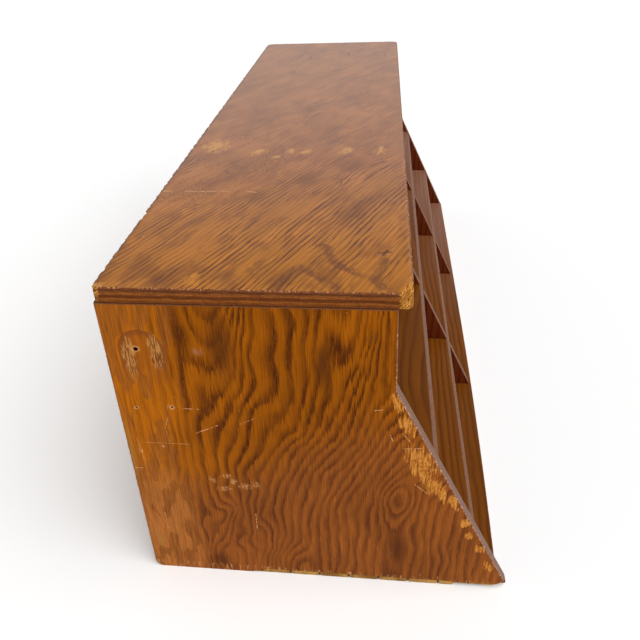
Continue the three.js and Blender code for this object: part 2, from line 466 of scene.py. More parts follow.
def loft(name, outline, rows, place, shape, materials):
    """A closed board: its outline at each row, joined by strips, with a flat face at each end.

    The shape wears the outline's points, and place turns u, v and distance into millimetres.
    """
    bm = bmesh.new()
    inwards = mitres(outline)
    rings = []
    for distance, inset, layer in rows:
        ring = []
        for (u, v), way in zip(outline, inwards):
            bite = inset + shape.crumble(u, v, distance, layer)
            moved = shape.adjust(u + way.x * bite, v + way.y * bite, distance, layer)
            ring.append(bm.verts.new(Vector(place(*moved, distance)) * MM))
        rings.append(ring)
    for face in strips(bm, rings):
        face.material_index = 1
    bm.faces.new(rings[0]).material_index = 0
    bm.faces.new(rings[-1]).material_index = 2
    bmesh.ops.remove_doubles(bm, verts=bm.verts, dist=1e-7)
    bmesh.ops.dissolve_degenerate(bm, edges=bm.edges, dist=1e-7)
    bmesh.ops.recalc_face_normals(bm, faces=bm.faces)
    piece = solidify(bm, name, materials)
    shade_edges(piece.data)
    return piece


class Shape:
    """How a board's edges depart from its clean outline. Each board changes what it needs."""

    def __init__(self, seed, wear=0.25):
        self.seed = seed
        self.wear = wear

    def crumble(self, u, v, distance, layer):
        return self.wear * ragged(u, v, layer, self.seed)

    def adjust(self, u, v, distance, layer):
        return u, v


def block(bm, low, high):
    """Adds a box between two corners, in millimetres, as a cutter."""
    made = bmesh.ops.create_cube(bm, size=1.0)
    low, high = Vector(low), Vector(high)
    for vertex in made["verts"]:
        spread = Vector(a * (h - l) for a, h, l in zip(vertex.co, high, low))
        vertex.co = ((low + high) / 2 + spread) * MM


def hole(bm, centre, direction, radius, depth, point=0.4):
    """Adds a round cutter, in millimetres, that goes in at centre and narrows at its end."""
    turn = Vector(direction).to_track_quat("Z", "Y").to_matrix().to_4x4()
    rings = ((-0.5, radius), (0.0, radius), (depth * 0.8, radius * 0.9), (depth, radius * point))
    sides = 16
    loops = []
    for along, wide in rings:
        loop = []
        for i in range(sides):
            angle = 2 * math.pi * i / sides
            offset = turn @ Vector((wide * math.cos(angle), wide * math.sin(angle), along))
            loop.append(bm.verts.new((Vector(centre) + offset) * MM))
        loops.append(loop)
    strips(bm, loops)
    bm.faces.new(list(reversed(loops[0])))
    bm.faces.new(loops[-1])


def cut_away(piece, make_cutters):
    """Cuts the shapes that make_cutters adds to a bmesh out of a piece."""
    bm = bmesh.new()
    make_cutters(bm)
    bmesh.ops.recalc_face_normals(bm, faces=bm.faces)
    for face in bm.faces:
        face.material_index = 1
    cutter = solidify(bm, "cutter", piece.data.materials)
    cutting = piece.modifiers.new("cut", "BOOLEAN")
    cutting.operation = "DIFFERENCE"
    cutting.solver = "MANIFOLD"
    cutting.object = cutter
    bpy.context.view_layer.update()
    made = bpy.data.meshes.new_from_object(piece.evaluated_get(bpy.context.evaluated_depsgraph_get()))
    piece.modifiers.clear()
    piece.data = made
    bpy.data.objects.remove(cutter)
    shade_edges(made)


def settle(piece, node):
    """Every board rides on the one body and stands for its own CAD node."""
    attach(piece, "root")
    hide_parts(node)


# ---------------- the end panels

# The chipped foot: the outer veneer stops short past a depth, and the ply behind it is split into blocks.
CHIP_START = 92
CHIP_HEIGHT = 6.3
BLOCK_START = 104
BLOCK_LENGTH = 27.5
TOE_CUT = ((0.6585, -0.7526), 206.9)
# Small holes in the left end: depth, height, radius and how deep they go.
SMALL_HOLES = ((25, 258, 1.8, 9), (15.5, 200, 0.8, 5), (45, 202, 1.0, 3))


class EndPanelShape(Shape):
    """The left end panel's foot is chipped: its outer veneer stops short and its toe is worn away."""

    def __init__(self, seed, chipped):
        super().__init__(seed, wear=0.3)
        self.chipped = chipped

    def foot(self, depth, distance, layer):
        """How high the board's underside has worn at a depth, in a layer counted from the outer face."""
        wobble = bumpy(depth / 9, layer * 3.1, self.seed)
        if layer == 0:
            grown = min(1.0, max(0.0, (depth - CHIP_START) / 20))
            nibble = 1.1 * ragged(depth, 0, layer, self.seed + 4, size=3.0)
            return grown * (CHIP_HEIGHT + 0.6 * wobble + nibble)
        if depth > 283:
            return 3.4 + 0.4 * wobble
        if layer == 1:
            split = abs((depth - BLOCK_START) / BLOCK_LENGTH % 1.0 - 0.5) * BLOCK_LENGTH
            gap = 1.8 * max(0.0, 1 - (BLOCK_LENGTH / 2 - split) / 1.1) if depth > 100 else 0.0
            return max(0.0, 0.3 + 0.3 * wobble) + gap
        return 0.0

    def adjust(self, u, v, distance, layer):
        if not self.chipped or v > 20:
            return u, v
        reach = layer if distance < 7 else 3
        if distance < 9:
            v = max(v, self.foot(u, distance, reach))
        if distance < 4:
            return cut_back((u, v), *TOE_CUT)
        return u, v


def end_panel_outline():
    heel = (HEEL_RADIUS, HEEL_RADIUS)
    toe = (NOSE_DEPTH - TOE_RADIUS, TOE_RADIUS)
    top = box_mm("left_end_panel")[1].z
    corners = arc(heel, HEEL_RADIUS, 180, 270)
    corners += arc(toe, TOE_RADIUS, 270, 360)
    corners += [(NOSE_DEPTH, NOSE_HEIGHT), (KNEE_DEPTH, KNEE_HEIGHT), (front_depth(top), top), (0, top)]
    return dense(corners)


def make_end_panel(side, materials, chipped):
    node = side + "_end_panel"
    low, high = box_mm(node)
    sign = -1 if side == "left" else 1
    outer = low.x if sign < 0 else high.x
    inner = outer - sign * (high.x - low.x)
    rows = ply_rows(high.x - low.x, PANEL_PLIES, ease=0.8)

    def place(depth, height, distance):
        return outer - sign * distance, BACK_Y - depth, height

    piece = loft(node + "_board", end_panel_outline(), rows, place, EndPanelShape(3.0, chipped), materials)

    back_depth = BACK_Y - box_mm("back_panel")[0].y + GAP

    def rebate(bm):
        xs = sorted((inner - sign, inner + sign * REBATE_WIDTH))
        block(bm, (xs[0], BACK_Y - back_depth, -1), (xs[1], BACK_Y + 2, HEIGHT))

    def housings(bm):
        xs = sorted((inner - sign, inner + sign * HOUSING_DEPTH))
        for shelf in ("middle_shelf", "upper_shelf"):
            low_z, high_z = (corner.z for corner in box_mm(shelf))
            stop = front_depth(high_z) - HOUSING_STOP
            block(bm, (xs[0], BACK_Y - stop, low_z - GAP), (xs[1], BACK_Y - back_depth + 1, high_z + GAP))

    cut_away(piece, rebate)
    cut_away(piece, housings)
    if chipped:
        def small_holes(bm):
            for depth, height, radius, reach in SMALL_HOLES:
                hole(bm, (outer, BACK_Y - depth, height), (1, 0, 0), radius, reach)

        cut_away(piece, small_holes)
    settle(piece, node)


# ---------------- the top board

# The ways outwards across the cut near corners, in length and depth.
FLAT_CUT = (-0.46, 0.888)
STEEP_CUT = (-0.80, 0.60)
BACK_CUT = (-0.7071, -0.7071)
# A bite out of the back arris, from and to, along the length.
BITE = (117, 135)


class TopShape(Shape):
    """The top board has lost its near front corner, and its back arris and near back corner are frayed."""

    def __init__(self, seed, depth):
        super().__init__(seed, wear=0.3)
        self.depth = depth

    def crumble(self, u, v, distance, layer):
        worn = self.wear * ragged(u, v, layer, self.seed)
        if v < 3:
            rough = bumpy(u / 8, self.seed, 0)
            rough += 0.6 * bumpy(u / 3, self.seed, 5)
            worn += max(0.0, 0.5 + 1.5 * rough)
            worn += 0.6 * ragged(u, 9, layer + 1, self.seed + 2, size=5.0)
            if distance < 4 and BITE[0] < u < BITE[1]:
                worn += 0.9
        if u < 3:
            worn += 0.35 * ragged(5, v, layer, self.seed + 6, size=3.0)
        return worn

    def adjust(self, u, v, distance, layer):
        splinter = bumpy(u / 3.0, v / 2.2, distance / 1.3 + layer)
        share = min(1.0, distance / THICK_PLY)
        flat = self.depth * FLAT_CUT[1] - (9.4 - 7.4 * share ** 0.8 + 0.9 * splinter)
        point = cut_back((u, v), FLAT_CUT, flat)
        steep = self.depth * STEEP_CUT[1] - 5.2 + 2.2 * share + 0.4 * splinter
        point = cut_back(point, STEEP_CUT, steep)
        return cut_back(point, BACK_CUT, -2.8 - 1.0 * splinter)


def make_top(materials):
    low, high = box_mm("top_board")
    length = high.x - low.x
    depth = high.y - low.y
    r, far = TOP_CORNER_RADIUS, TOP_FAR_RADIUS
    outline = arc((r, r), r, 180, 270)
    outline += arc((length - far, far), far, 270, 360)
    outline += arc((length - far, depth - far), far, 0, 90)
    outline += arc((r, depth - r), r, 90, 180)

    def place(u, v, distance):
        return low.x + u, high.y - v, high.z - distance

    rows = ply_rows(high.z - low.z, THICK_PLIES, ease=1.1)
    piece = loft("top_board_ply", dense(outline, 2.0), rows, place, TopShape(11.0, depth), materials)
    settle(piece, "top_board")
    return piece


# ---------------- the bottom board, shelves, dividers and back


def make_bottom(materials):
    low, high = box_mm("bottom_board")
    back = BACK_Y - high.y
    middle = 0.0
    curve = []
    steps = 40
    for i in range(steps + 1):
        t = i / steps
        x = (1 - t) ** 2 * low.x + 2 * t * (1 - t) * BOTTOM_BEND[0] + t * t * middle
        d = (1 - t) ** 2 * BOTTOM_LEFT_DEPTH + 2 * t * (1 - t) * BOTTOM_BEND[1] + t * t * BOTTOM_FRONT_DEPTH
        curve.append((x, d))
    outline = [(low.x, back), (high.x, back), (high.x, BOTTOM_FRONT_DEPTH)] + curve[::-1]

    def place(u, v, distance):
        return u, BACK_Y - v, high.z - distance

    rows = ply_rows(high.z - low.z, THICK_PLIES, ease=0.9)
    piece = loft("bottom_board_ply", dense(outline, 4.0), rows, place, Shape(21.0), materials)
    heads = [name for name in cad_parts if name.startswith("foot_nail")]
    cut_away(piece, lambda bm: nail_mouths(bm, heads, (0, 0, 1), 1.7))
    settle(piece, "bottom_board")


def nail_mouths(bm, names, direction, radius, depth=3.0):
    """Cutters where nail heads sit below a face. direction points into the wood."""
    way = Vector(direction)
    for name in sorted(names):
        low, high = box_mm(name)
        middle = (low + high) / 2
        reach = (high - low).dot(Vector(abs(a) for a in way)) / 2
        face = middle - way * (reach + 0.2)
        hole(bm, face, direction, radius, depth, point=0.8)


class SlopeFront(Shape):
    """A shelf's front edge follows the slope of the end panels."""

    def __init__(self, seed, front):
        super().__init__(seed, wear=0.2)
        self.front = front

    def adjust(self, u, v, distance, layer):
        if v > self.front - 6:
            v += distance * (SLOPE_FOOT_DEPTH - KNEE_DEPTH) / KNEE_HEIGHT
        return u, v


def make_shelf(node, seed, materials):
    low, high = box_mm(node)
    back = BACK_Y - high.y
    front = front_depth(high.z) - FRONT_SETBACK
    notch = front_depth(high.z) - HOUSING_STOP - GAP
    tongue = HOUSING_DEPTH
    outline = [(low.x, back)]
    for divider in ("left_divider", "right_divider"):
        near, far = box_mm(divider)
        slot = LAP_DEPTH + GAP
        outline += [(near.x - GAP, back), (near.x - GAP, slot), (far.x + GAP, slot), (far.x + GAP, back)]
    outline += [(high.x, back), (high.x, notch), (high.x - tongue, notch), (high.x - tongue, front)]
    outline += [(low.x + tongue, front), (low.x + tongue, notch), (low.x, notch)]

    def place(u, v, distance):
        return u, BACK_Y - v, high.z - distance

    rows = ply_rows(high.z - low.z, THIN_PLIES, ease=0.5)
    piece = loft(node + "_ply", dense(outline, 4.0), rows, place, SlopeFront(seed, front), materials)
    settle(piece, node)


def make_divider(node, seed, materials):
    low, high = box_mm(node)
    back = BACK_Y - high.y
    outline = [(back, low.z), (front_depth(low.z) - FRONT_SETBACK, low.z)]
    for shelf in ("middle_shelf", "upper_shelf"):
        under, over = box_mm(shelf)
        for height, inner in ((under.z - GAP, False), (over.z + GAP, True)):
            edge = (front_depth(height) - FRONT_SETBACK, height)
            slot = (LAP_DEPTH, height)
            outline += [slot, edge] if inner else [edge, slot]
    outline += [(KNEE_DEPTH - FRONT_SETBACK, KNEE_HEIGHT)]
    outline += [(front_depth(high.z) - FRONT_SETBACK, high.z), (back, high.z)]

    def place(u, v, distance):
        return low.x + distance, BACK_Y - u, v

    rows = ply_rows(high.x - low.x, THIN_PLIES, ease=0.5)
    piece = loft(node + "_ply", dense(outline, 4.0), rows, place, Shape(seed, 0.2), materials)
    settle(piece, node)


def make_back(materials):
    low, high = box_mm("back_panel")
    top = high.z + GAP  # closes the gap under the top board, where light would show
    outline = [(low.x, low.z), (high.x, low.z), (high.x, top), (low.x, top)]

    def place(u, v, distance):
        return u, BACK_Y - distance, v

    rows = ply_rows(high.y - low.y, (2.1, 4.2), ease=0.4)
    piece = loft("back_panel_ply", dense(outline, 4.0), rows, place, Shape(61.0, 0.3), materials)
    heads = [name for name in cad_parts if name.startswith("back_nail")]
    cut_away(piece, lambda bm: nail_mouths(bm, heads, (0, -1, 0), 1.8, depth=1.4))
    settle(piece, "back_panel")


# ---------------- wood

AMBER = (142, 76, 2)
AMBER_DARK = (78, 35, 4)
# The left end face's lower part: red-brown hazed by a painted reflection.
HAZED_RED_BROWN = (134, 73, 24)
HAZED_RED_BROWN_DARK = (88, 42, 16)
RAW = (200, 136, 60)
RAW_DARK = (150, 84, 26)
SCUFF = (198, 146, 94)
SEALED_EDGE_AND_SHEEN = (116, 80, 58)
# A dark glue line, also painted as shade in the chipped foot's crease and splits.
GLUE_LINE_AND_SHADE = (52, 26, 14)


def rings(mat, field, start=0.3):
    """How dark the wood is, 0 to 1, from a field that grows by 1 with each growth ring."""
    share = mat.math("FRACT", field)
    return mat.fade(mat.ramp(share, start, 0.74), share, 0.8, 1.0, 1, 0)


def fibres(mat, spot, width=0.8, length=32.0, seed=0.0):
    """Fine streaks along the second coordinate, about 0 and mostly within 0.5."""
    return mat.add(mat.noise(spot, (width, length), 2.0, 0.6, seed), -0.5)


def wood_colour(mat, light, dark, darkness, streaks, contrast, blotch):
    """Light and dark wood mixed, then varied by the streaks and by large blotches."""
    colour = mat.mix(darkness, light, dark)
    level = mat.ramp(blotch, 0.25, 0.75, 0.86, 1.12)
    return mat.scaled(colour, mat.times(mat.blend_in(streaks, contrast, 1.0), level))


# The rotary-cut figure of the left end panel: (centre, radii, turn, rings), in depth and height.
END_HILLS = (
    ((88, 345), (42, 205), 0, -5.0), ((190, 335), (30, 160), 0, -3.6), ((227, 112), (22, 40), 0, 1.5),
    ((227, 30), (10, 60), 0, -0.6), ((136, 4), (32, 56), 0, 2.8), ((92, 72), (40, 34), 20, -2.0),
    ((66, 20), (22, 40), 0, 1.5),
)
# Bare wood along the slope: (centre, radii, turn).
END_BARE = (
    ((223, 214), (7, 16), 12), ((232, 193), (9, 18), 27), ((245, 152), (17, 36), 25),
    ((259, 126), (12, 28), 27), ((273, 111), (6, 16), 27), ((285, 86), (7, 9), 20),
    ((291, 70), (6, 9), 27), ((301, 53), (6, 9), 27), ((312, 30), (6, 14), 30),
)
END_SCRATCHES = (
    ((61, 175), (81, 185)), ((54, 201), (67, 201)), ((1, 132), (9, 132)), ((206, 207), (212, 208)),
    ((219, 182), (221, 176)), ((229, 184), (235, 176)), ((230, 169), (245, 170)),
    ((241, 129), (252, 119)), ((104, 62), (104, 82)),
)
END_FAINT = (
    ((99, 187), (112, 194)), ((40, 191), (36, 180)), ((36, 180), (38, 164)), ((15, 162.5), (54, 162.5)),
    ((20, 55), (20, 77)), ((12, 142), (10, 166)), ((252, 6), (252, 14)), ((268, 5), (268, 12)),
)
# Torn fibres where something was stuck on, and the rims of the small holes.
END_FIBRES = (
    ((19, 248), (8, 30)), ((40, 254), (8, 26), 4),
)
END_HOLES = (
    ((25, 258), (4.6, 4.6)), ((15.5, 200), (2.4, 2.4)), ((45, 202), (3.2, 3.2)),
)
END_SCUFFS = (
    ((44, 202), (8, 5)), ((15.5, 200), (5, 4)), ((11, 152), (4, 10)), ((70, 122), (6, 9), 20),
    ((82, 128), (9, 6), -20), ((78, 112), (13, 6), 10), ((96, 116), (12, 7), -10),
    ((107, 119), (6, 8), 20), ((88, 121), (9, 6)), ((31, 159), (3, 3)),
)
END_SMEARS = (
    ((230, 43), (9, 30)), ((66, 16), (16, 18)), ((90, 264), (17, 54)), ((166, 248), (8, 34)),
)
END_OLIVE = (
    ((10, 40), (5, 18)), ((3, 150), (3, 60)),
)


def end_figure(mat, spot):
    """The left end panel's ring field: rings leaning forwards as they rise, about an eye near the slope."""
    depth, height = spot
    ragged = mat.add(mat.noise(spot, (1.2, 26), 1.0, seed=4), -0.5)
    height = mat.blend_in(ragged, mat.ramp(height, 140, 230, 7, 26), height)
    swayed = mat.sway((depth, height), (26, 40), 3.4, seed=1)
    swayed = mat.sway(swayed, (8, 15), 1.7, seed=2)
    depth, height = swayed
    lean = mat.fade(mat.ramp(height, 85, 230, 0, 50), depth, 56, 160)
    across = mat.math("SUBTRACT", mat.add(depth, -227), lean)
    field = mat.times(mat.away(across, 7.0), -1 / 8)
    wander = mat.add(mat.noise(spot, (34, 48), 1.0, seed=3), -0.5)
    wild = mat.hill(spot, (90, 66), (52, 62), 0, 7.0)
    field = mat.blend_in(wander, mat.add(wild, 1.7), field)
    for hill in END_HILLS:
        field = mat.add(field, mat.hill(swayed, *hill))
    return field


def left_end_face():
    mat = Shade("left_end_fir")
    spot = mat.plane(("Y", -1, BACK_Y), ("Z", 1, 0))
    depth, height = spot
    bare_marks = mat.hills(spot, END_BARE)
    scratches = mat.strokes(spot, END_SCRATCHES, 0.6)
    faint = mat.strokes(spot, END_FAINT, 0.6)
    scuffs = mat.hills(spot, END_SCUFFS)
    smears = mat.hills(spot, END_SMEARS)
    olive = mat.hills(spot, END_OLIVE)
    tall = mat.math("MAXIMUM", mat.times(mat.add(height, -258), 1 / 18), 0)
    ghost = mat.away(mat.times(mat.add(depth, -29), 1 / 18), tall)
    fibre = mat.hills(spot, END_FIBRES)
    holes = mat.hills(spot, END_HOLES)
    hazy = mat.hill(spot, (73, 258), (6, 7), 30, 0.3)

    streaks = fibres(mat, spot)
    field = mat.blend_in(streaks, 0.22, end_figure(mat, spot))
    blotch = mat.noise(spot, (45, 70), 2.0, seed=5)
    patchy = mat.noise(spot, (13, 60), 1.0, seed=6)
    flecks = mat.noise(spot, (1.0, 9), 2.0, 0.6, seed=7)

    # Amber above and a hazier red-brown below a border that rises towards the front: the lower part's haze
    # is a painted reflection.
    border = mat.ramp(depth, 60, 235, 108, 183)
    above = mat.blend_in(blotch, 70, mat.math("SUBTRACT", height, border))
    above_haze = mat.ramp(above, 10, 75)
    darkness = mat.times(rings(mat, field, 0.18), mat.ramp(patchy, 0.3, 0.7, 0.5, 1.1))
    darkness = mat.fade(darkness, flecks, 0.3, 0.7, 0.7, 1.15)
    darkness = mat.fade(darkness, above_haze, 0, 1, 0.8, 0.95)
    light = mat.mix(above_haze, HAZED_RED_BROWN, AMBER)
    dark = mat.mix(above_haze, HAZED_RED_BROWN_DARK, AMBER_DARK)
    mat.colour = wood_colour(mat, light, dark, darkness, streaks, 1.5, blotch)
    strip = mat.ramp(mat.blend_in(patchy, 34, depth), 46, 80, 0.55, 0.0)
    strip = mat.fade(strip, mat.blend_in(flecks, 0.5, streaks), 0.05, 0.45, 0.5, 1.15)
    mat.stain(strip, mat.mix(above_haze, (184, 114, 52), (188, 106, 10)))
    rubbed = mat.blend_in(blotch, 26, mat.blend_in(patchy, 22, depth))
    rubbed = mat.ramp(rubbed, 22, 38, 0.5, 0)
    islands = mat.blend_in(streaks, 0.12, mat.noise(spot, (11, 34), 2.0, 0.55, seed=11))
    islands = mat.fade(mat.ramp(islands, 0.515, 0.565, 0, 0.85), depth, 50, 64, 1, 0)
    rubbed = mat.fade(mat.largest([rubbed, islands]), above_haze, 0, 1, 1, 0.7)
    mat.stain(rubbed, mat.mix(mat.ramp(streaks, -0.2, 0.2), (104, 54, 16), (148, 86, 32)))
    mat.stain(mat.times(smears, 0.75), (74, 36, 10))
    outline = mat.fade(mat.ramp(ghost, 0.95, 1.02, 1, 0), ghost, 0.55, 0.9, 0.35, 0.8)
    outline = mat.fade(outline, mat.blend_in(patchy, 40, height), 240, 262)
    mat.stain(outline, (116, 60, 24))
    thread = mat.noise(spot, (0.75, 7), 2.0, 0.6, seed=12)
    loose = mat.noise(spot, (5, 22), 2.0, seed=13)
    torn_fibre = mat.blend_in(thread, 0.8, mat.blend_in(loose, 0.9, mat.times(fibre, 0.6)))
    torn_fibre = mat.fade(mat.ramp(torn_fibre, 0.95, 1.2, 0, 0.8), fibre, 0.02, 0.2)
    fibre_colour = mat.mix(mat.ramp(thread, 0.42, 0.58), (100, 56, 22), (182, 128, 70))
    mat.stain(torn_fibre, fibre_colour)
    mat.stain(mat.times(olive, 0.6), (150, 108, 48))

    speck = mat.noise(spot, (1.1, 1.6), 1.0, seed=8)
    torn = mat.noise(spot, (1.5, 15), 3.0, 0.65, seed=9)
    coarse = mat.noise(spot, (5, 20), 2.0, seed=10)
    bare = mat.blend_in(coarse, 1.0, mat.blend_in(torn, 1.7, mat.times(bare_marks, 0.6)))
    bare = mat.fade(mat.ramp(bare, 1.52, 1.76, 0, 0.92), bare_marks, 0.02, 0.2)
    raw = mat.ramp(mat.blend_in(speck, 0.4, mat.times(torn, 0.6)), 0.4, 0.6)
    mat.stain(bare, mat.mix(raw, RAW_DARK, RAW))

    broken = mat.ramp(speck, 0.36, 0.56)
    scratched = mat.times(scratches, broken)
    faint = mat.times(faint, mat.times(broken, 0.5))
    scuffed = mat.blend_in(scuffs, 0.2, mat.times(mat.add(torn, speck), 0.5))
    scuffed = mat.ramp(scuffed, 0.61, 0.72, 0, 0.5)
    scuffed = mat.fade(scuffed, scuffs, 0.02, 0.35)
    dust = mat.ramp(speck, 0.765, 0.80, 0, 0.55)
    rim = mat.times(mat.ramp(holes, 0.05, 0.3, 0, 0.75), broken)
    nicks = mat.fade(mat.ramp(height, 7.5, 11, 0.7, 0), torn, 0.56, 0.64)
    marks = mat.largest([scratched, faint, scuffed, dust, rim, nicks])
    mat.stain(marks, SCUFF)
    hazy = mat.fade(hazy, coarse, 0.4, 0.6)
    mat.stain(hazy, (160, 138, 128))

    worn = mat.largest([bare, marks])
    roughness = mat.blend_in(streaks, 0.2, mat.ramp(worn, 0, 1, 0.34, 0.75))
    relief = mat.blend_in(darkness, 0.25, mat.blend_in(streaks, 0.5, mat.times(worn, -0.8)))
    mat.bump(relief, 0.35, 0.25)
    return mat.finish(roughness, 0.03)


def plain_fir(name, plane, light, dark, seed, spacing=9.0, gloss=0.12, roughness=0.42, hills=(), painted_far_sheen=0.0):
    """A straight-grained or gently figured face. The second board coordinate runs along the grain."""
    mat = Shade(name)
    spot = mat.plane(*plane)
    streaks = fibres(mat, spot, 0.8, 45, seed)
    ragged = mat.add(mat.noise(spot, (1.2, 26), 1.0, seed=seed + 4), -0.5)
    moved = mat.sway((spot[0], mat.blend_in(ragged, 22, spot[1])), (16, 60), 3.0, seed=seed)
    wander = mat.noise(spot, (60, 260), 1.0, seed=seed + 1)
    field = mat.blend_in(wander, 2.4, mat.times(moved[0], 1 / spacing))
    field = mat.blend_in(streaks, 0.25, field)
    for hill in hills:
        field = mat.add(field, mat.hill(moved, *hill))
    blotch = mat.noise(spot, (50, 120), 2.0, seed=seed + 2)
    darkness = mat.times(rings(mat, field), mat.ramp(blotch, 0.3, 0.7, 0.45, 1.0))
    mat.colour = wood_colour(mat, light, dark, darkness, streaks, 0.5, blotch)
    speck = mat.noise(spot, (1.2, 2.4), 1.0, seed=seed + 3)
    mat.stain(mat.ramp(speck, 0.75, 0.8, 0, 0.4), SCUFF)
    # Painted sheen: paler and greyer towards the far end, where the view grazes the face.
    if painted_far_sheen:
        mat.stain(mat.ramp(spot[1], -60, 420, 0, painted_far_sheen), (176, 138, 128))
    mat.bump(mat.blend_in(streaks, 0.6, mat.times(darkness, 0.3)), 0.3, 0.2)
    return mat.finish(mat.blend_in(streaks, 0.2, roughness), gloss)


# The top board's figure: (centre, radii, turn, rings), in distance from the left end and depth.
TOP_GRAIN = math.radians(22.5)
TOP_HILLS = (
    ((245, 24), (125, 108), 0, -13.0), ((330, 60), (120, 60), 20, 3.0), ((455, 117), (60, 26), 10, 3.0),
    ((250, 190), (90, 30), 22, 2.4),
)
TOP_PALE = (
    ((293, 77), (22, 13), 24), ((276, 98), (11, 9)), ((296, 111), (16, 9)), ((293, 128), (16, 12)),
    ((295, 169), (18, 13)), ((296, 205), (18, 11)), ((313, 27), (40, 27)), ((15, 72), (12, 17), 60),
)
TOP_SMUDGES = (
    ((11, 48), (15, 15)), ((20, 95), (14, 18), 35), ((112, 48), (40, 9), 27), ((172, 95), (24, 15), 20),
    ((216, 136), (34, 14), 8), ((150, 190), (70, 16), 27), ((251, 182), (30, 14), 20),
    ((455, 117), (24, 13)), ((660, 70), (22, 11)),
)
# Dark bends of the growth rings near the left end, each a chain of points.
TOP_BENDS = (
    ((73, 159), (68, 166), (51, 170), (38, 177), (33, 185), (25, 193), (19, 203), (8, 209)),
    ((10, 135), (25, 141), (37, 148), (27, 158), (18, 167), (7, 175)),
    ((49, 211), (30, 206), (16, 204)),
)
TOP_DENTS = (
    ((766, 72), (788, 72)), ((750, 89), (770, 89)), ((768, 150), (790, 150)), ((756, 209), (776, 209)),
    ((57, 209), (65, 212)), ((60, 206), (62, 215)),
)
TOP_CHIPS = (
    ((126, 1), (11, 3.6)), ((3, 4), (10, 7), 40),
)
TOP_SCRATCHES = (
    ((182, 24), (182, 66)), ((182, 3), (182, 12)), ((182, 84), (180, 92)), ((84, 14), (84.5, 14)),
)


def top_grain(mat, spot):
    """The top board's place across and along its grain, which crosses it at an angle, more so far away."""
    length, depth = spot
    eased = mat.blend_in(mat.math("MAXIMUM", mat.add(length, -180), 0), 0.3, length)
    across = mat.line((eased, depth), -math.sin(TOP_GRAIN), math.cos(TOP_GRAIN), 0)
    along = mat.line((eased, depth), math.cos(TOP_GRAIN), math.sin(TOP_GRAIN), 0)
    return across, along


def frayed(mat, spot, grain):
    """The spot shifted to and fro along the grain, a little for every fibre."""
    fibre = mat.add(mat.noise(grain, (1.2, 30), 1.0, seed=29), -0.5)
    return mat.blend_in(fibre, 19, spot[0]), mat.blend_in(fibre, 11, spot[1])


def top_figure(mat, spot):
    """The ring field of the top board."""
    moved = mat.sway(spot, (44, 26), 8.0, seed=20)
    moved = mat.sway(moved, (13, 9), 1.0, seed=21)
    field = mat.times(top_grain(mat, moved)[0], 1 / 4.8)
    for hill in TOP_HILLS:
        field = mat.add(field, mat.hill(moved, *hill))
    return field


